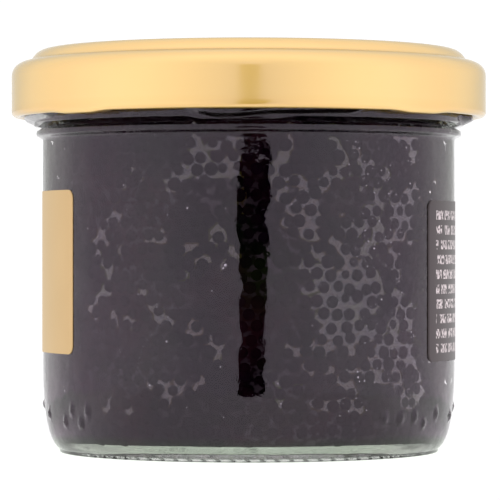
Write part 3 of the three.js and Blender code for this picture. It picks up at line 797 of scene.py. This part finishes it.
def gold_lacquer():
    """Gold lacquered tinplate, satin under a clear coat, with painted shade that deepens its gold at the
    rolled edge.

    It has a fine orange-peel, and faint clouds in its gloss and colour."""
    finish = Finish("gold_lacquer", Base_Color=(0.82, 0.605, 0.128), Metallic=1.0, Roughness=0.42,
                    Coat_Weight=1.0, Coat_Roughness=0.15, Coat_IOR=2.2, Specular_Tint=(0.4, 0.38, 0.34))
    colour = finish.mix(finish.spread(finish.noise(60), 0.35, 0.65), (0.815, 0.6, 0.125),
                        (0.825, 0.61, 0.131))
    # Painted shade: below the top of the rolled edge the gold turns deeper, by height alone.
    height = finish.add("ShaderNodeSeparateXYZ", _0=finish.place()).outputs[2]
    finish.drive(Roughness=finish.spread(finish.noise(160, 3), 0.3, 0.7, 0.4, 0.45),
                 Base_Color=finish.mix(finish.spread(height, *EDGE_SHADE_BLEND), (0.8, 0.565, 0.105), colour),
                 Normal=finish.bump(finish.noise(2600), 4.0e-6))
    return finish


def lid_inside_shade():
    """Dark colour over the whole inside of the lid, painted shade under the lid."""
    finish = Finish("lid_inside_shade", Base_Color=(0.03, 0.02, 0.014), Roughness=0.5, Specular_IOR_Level=0.3)
    finish.drive(Base_Color=finish.mix(finish.noise(200), (0.026, 0.017, 0.012), (0.034, 0.023, 0.016)))
    return finish


def jelly_finish(name, level, roughness, casts=None):
    """Near-black jelly with faint clouds and, in patches, paler specks.

    Its clouds drift between the two casts if it has them, and else between red, violet and green."""
    finish = Finish(name, Roughness=roughness, Specular_IOR_Level=level)
    drift = finish.spread(finish.noise(130), 0.42, 0.58)
    colour = finish.mix(drift, *casts) if casts else finish.clouds()
    specks = finish.product(finish.spread(finish.noise(110), 0.4, 0.6, 0.2, 1),
                            finish.spread(finish.noise(1050, 1), 0.48, 0.62))
    finish.drive(Base_Color=finish.mix(specks, colour, (0.03, 0.023, 0.028)))
    return finish


def egg_finish(name, level, roughness):
    """Near-black egg skin; each egg has its own tint between violet, brown and green black."""
    finish = Finish(name, Roughness=roughness, Specular_IOR_Level=level)
    tint = finish.add("ShaderNodeAttribute", {"attribute_name": "egg_tint"}).outputs["Fac"]
    skin = finish.ramp(tint, ((0.0, (0.004, 0.001, 0.006)), (0.35, (0.008, 0.0015, 0.004)),
                              (0.65, (0.001, 0.0005, 0.002)), (0.85, (0.002, 0.003, 0.001))))
    finish.drive(Base_Color=finish.mix(0.6, skin, finish.clouds()))
    return finish


def bubble_finish():
    """Air bubble in the jelly, which mirrors the light like a bead."""
    finish = Finish("bubble_mirror", Base_Color=(0.48, 0.47, 0.48), Metallic=1.0, Roughness=0.12)
    finish.drive(Roughness=finish.spread(finish.noise(900, 1), 0.3, 0.7, 0.08, 0.2))
    return finish


def flat_print(finish):
    """Distance across and up the label, in millimetres."""
    node = finish.add("ShaderNodeUVMap", {"uv_map": "flat_print"})
    parts = finish.add("ShaderNodeSeparateXYZ", _0=node.outputs[0])
    return parts.outputs[0], parts.outputs[1]


def gold_label():
    """Gold film with a plain field of deeper gold and a dark line below it."""
    finish = Finish("gold_label_film", Base_Color=(0.57, 0.435, 0.176), Metallic=0.55, Roughness=0.42)
    across, up = flat_print(finish)
    far = finish.math("ABSOLUTE", finish.math("ADD", across, FIELD_SHIFT))
    wide = finish.math("LESS_THAN", far, FIELD_HALF)
    field = finish.product(wide, finish.between(up, FIELD_LOW, FIELD_HIGH))
    band = finish.product(wide, finish.math("COMPARE", up, LINE_LEVEL, LINE_HALF))
    base = finish.mix(finish.spread(finish.noise(90), 0.35, 0.65), (0.56, 0.425, 0.17),
                      (0.583, 0.445, 0.182))
    with_field = finish.mix(field, base, (0.36, 0.22, 0.085))
    finish.drive(Base_Color=finish.mix(band, with_field, (0.25, 0.15, 0.06)),
                 Normal=finish.bump(finish.noise(2400), 3.0e-6))
    return finish


def dark_label():
    """Dark olive film with rows of small pale strokes that spell nothing, from noise cut into words."""
    finish = Finish("dark_label_film", Base_Color=(0.02, 0.018, 0.012), Roughness=0.35,
                    Specular_IOR_Level=0.35)
    across, up = flat_print(finish)
    row = finish.math("DIVIDE", finish.math("SUBTRACT", up, ROW_START), ROW_STEP)
    level = finish.math("FRACT", row)
    number = finish.math("FLOOR", row)
    shift = finish.add("ShaderNodeTexWhiteNoise", {"noise_dimensions": "1D"}, W=number).outputs[0]
    word = finish.math("ADD", finish.math("DIVIDE", across, WORD_STEP), finish.product(shift, 7.0))
    cell = finish.add("ShaderNodeCombineXYZ", _0=finish.math("FLOOR", word), _1=number)
    length = finish.add("ShaderNodeTexWhiteNoise", Vector=cell.outputs[0]).outputs[0]
    inked = finish.math("LESS_THAN", finish.math("FRACT", word), finish.spread(length, 0, 1, 0.6, 0.95))
    tall = finish.math("COMPARE", level, STROKE_LEVEL, STROKE_HALF)
    pen = finish.add("ShaderNodeCombineXYZ", _0=finish.product(across, 2.6), _1=finish.product(up, 1.7))
    strokes = finish.add("ShaderNodeTexNoise", {"noise_dimensions": "2D"}, Vector=pen.outputs[0], Scale=1.0,
                         Detail=1.0)
    stroke = finish.spread(strokes.outputs["Fac"], 0.47, 0.53)
    inside = finish.product(finish.math("LESS_THAN", finish.math("ABSOLUTE", across), PRINT_HALF),
                            finish.between(up, PRINT_LOW, PRINT_HIGH))
    base = finish.mix(finish.spread(finish.noise(70), 0.35, 0.65), (0.028, 0.024, 0.019),
                      (0.034, 0.029, 0.023))
    ink = finish.product(inked, stroke, tall, inside)
    finish.drive(Base_Color=finish.mix(ink, base, (0.6, 0.58, 0.52)))
    return finish


# Stage, light and camera

def light_stops(levels):
    """Brightness by direction as ramp stops."""
    return [((back + 1) / 2, [value / TENT_PEAK for value in colour]) for back, colour in levels]


def floor_finish():
    """Pale matt floor that glows, its glow painted light and shade: even right under the jar, dimmer towards
    the camera and behind and brightest off to the sides round the jar, and further out as bright as the tent
    above it.
    """
    finish = Finish("pale_floor", Roughness=0.9, Specular_IOR_Level=0.0, Emission_Strength=TENT_PEAK)
    darker, grey = (0.99 * FLOOR_COLOUR,) * 3, (FLOOR_COLOUR,) * 3
    finish.drive(Base_Color=finish.mix(finish.spread(finish.noise(8), 0.3, 0.7), darker, grey))
    place = finish.place()
    distance = finish.add("ShaderNodeVectorMath", {"operation": "LENGTH"}, _0=place).outputs["Value"]
    share = finish.math("DIVIDE", finish.add("ShaderNodeSeparateXYZ", _0=place).outputs[1], distance)
    share = finish.spread(share, -1, 1)
    far = [(back, colour if back < 0.85 else (1, 1, 1)) for back, colour in TENT]
    # Painted light and shade in the floor's glow: by direction near the jar, even under it, and like the tent
    # further out.
    near, far = (finish.ramp(share, light_stops(levels)) for levels in (FLOOR_NEAR, far))
    under = [value / TENT_PEAK for value in FLOOR_UNDER]
    near = finish.mix(finish.spread(distance, *UNDER_BLEND), under, near)
    finish.drive(Emission_Color=finish.mix(finish.spread(distance, *FLOOR_BLEND), near, far))
    return finish


def flat_sheet(name, corners, finish):
    """Four-cornered flat sheet of the stage."""
    piece = new_piece(name, np.array(corners, float), [np.array([[0, 1, 2, 3]])], [finish])
    return piece


def studio():
    """White tent all round, a pale floor that glows with painted light and shade, and the tent's dark opening
    round the camera.
    """
    world = bpy.data.worlds.new("white_tent")
    world.use_nodes = True
    tent = Nodes(world.node_tree)
    direction = tent.add("ShaderNodeSeparateXYZ", _0=tent.add("ShaderNodeTexCoord").outputs["Generated"])
    background = tent.tree.nodes["Background"]
    background.inputs["Strength"].default_value = TENT_PEAK
    light = tent.ramp(tent.spread(direction.outputs[1], -1, 1), light_stops(TENT))
    tent.fill(background.inputs["Color"], light)
    bpy.context.scene.world = world
    corners = np.array(((-1, -1), (1, -1), (1, 1), (-1, 1))) * FLOOR_REACH
    flat_sheet("pale_floor", [(*corner, -FLOOR_DROP) for corner in corners], floor_finish())
    black = Finish("camera_opening", Base_Color=(0, 0, 0), Roughness=1.0, Specular_IOR_Level=0.0)
    for i, corners in enumerate(OPENING):
        opening = flat_sheet(f"camera_opening_{i + 1}", corners, black)
        opening.visible_camera = False
        opening.visible_shadow = False


def camera():
    """Level camera at the photograph's distance and height."""
    data = bpy.data.cameras.new("camera")
    data.lens, data.sensor_width = CAMERA_LENS, 36.0
    data.clip_start, data.clip_end = 0.01, 20.0
    made = bpy.data.objects.new("camera", data)
    made.location = CAMERA_PLACE
    made.rotation_euler = (math.pi / 2, 0, 0)
    bpy.context.scene.collection.objects.link(made)
    bpy.context.scene.camera = made


def keep(piece, slot, *nodes):
    """Ties a finished piece to the frame."""
    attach(piece, "root")
    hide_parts(*nodes)


bpy.context.scene.view_settings.view_transform = "Standard"
cycles = bpy.context.scene.cycles
cycles.max_bounces = 24
cycles.glossy_bounces = cycles.transmission_bounces = 16
camera()
studio()
keep(glass_jar(clear_glass()), "glass", "jar_glass")
keep(twist_off_lid(gold_lacquer(), lid_inside_shade()), "gold_lacquer", "lid")
keep(roe_jelly(jelly_finish("jelly_on_glass", 0.0, 0.5), jelly_finish("jelly_in_air", 0.01, 0.12, AIR_CASTS)),
     "black_roe", "caviar")
keep(roe_eggs(egg_finish("egg_on_glass", 0.0, 0.5), egg_finish("egg_in_air", 0.16, 0.12)),
     "black_roe", "caviar")
keep(jelly_bubbles(bubble_finish()), "black_roe", "caviar")
keep(label("gold_front_label", **FRONT_LABEL, finish=gold_label()), "gold_label", "label_front")
keep(label("dark_back_label", **BACK_LABEL, finish=dark_label()), "dark_label", "label_back")
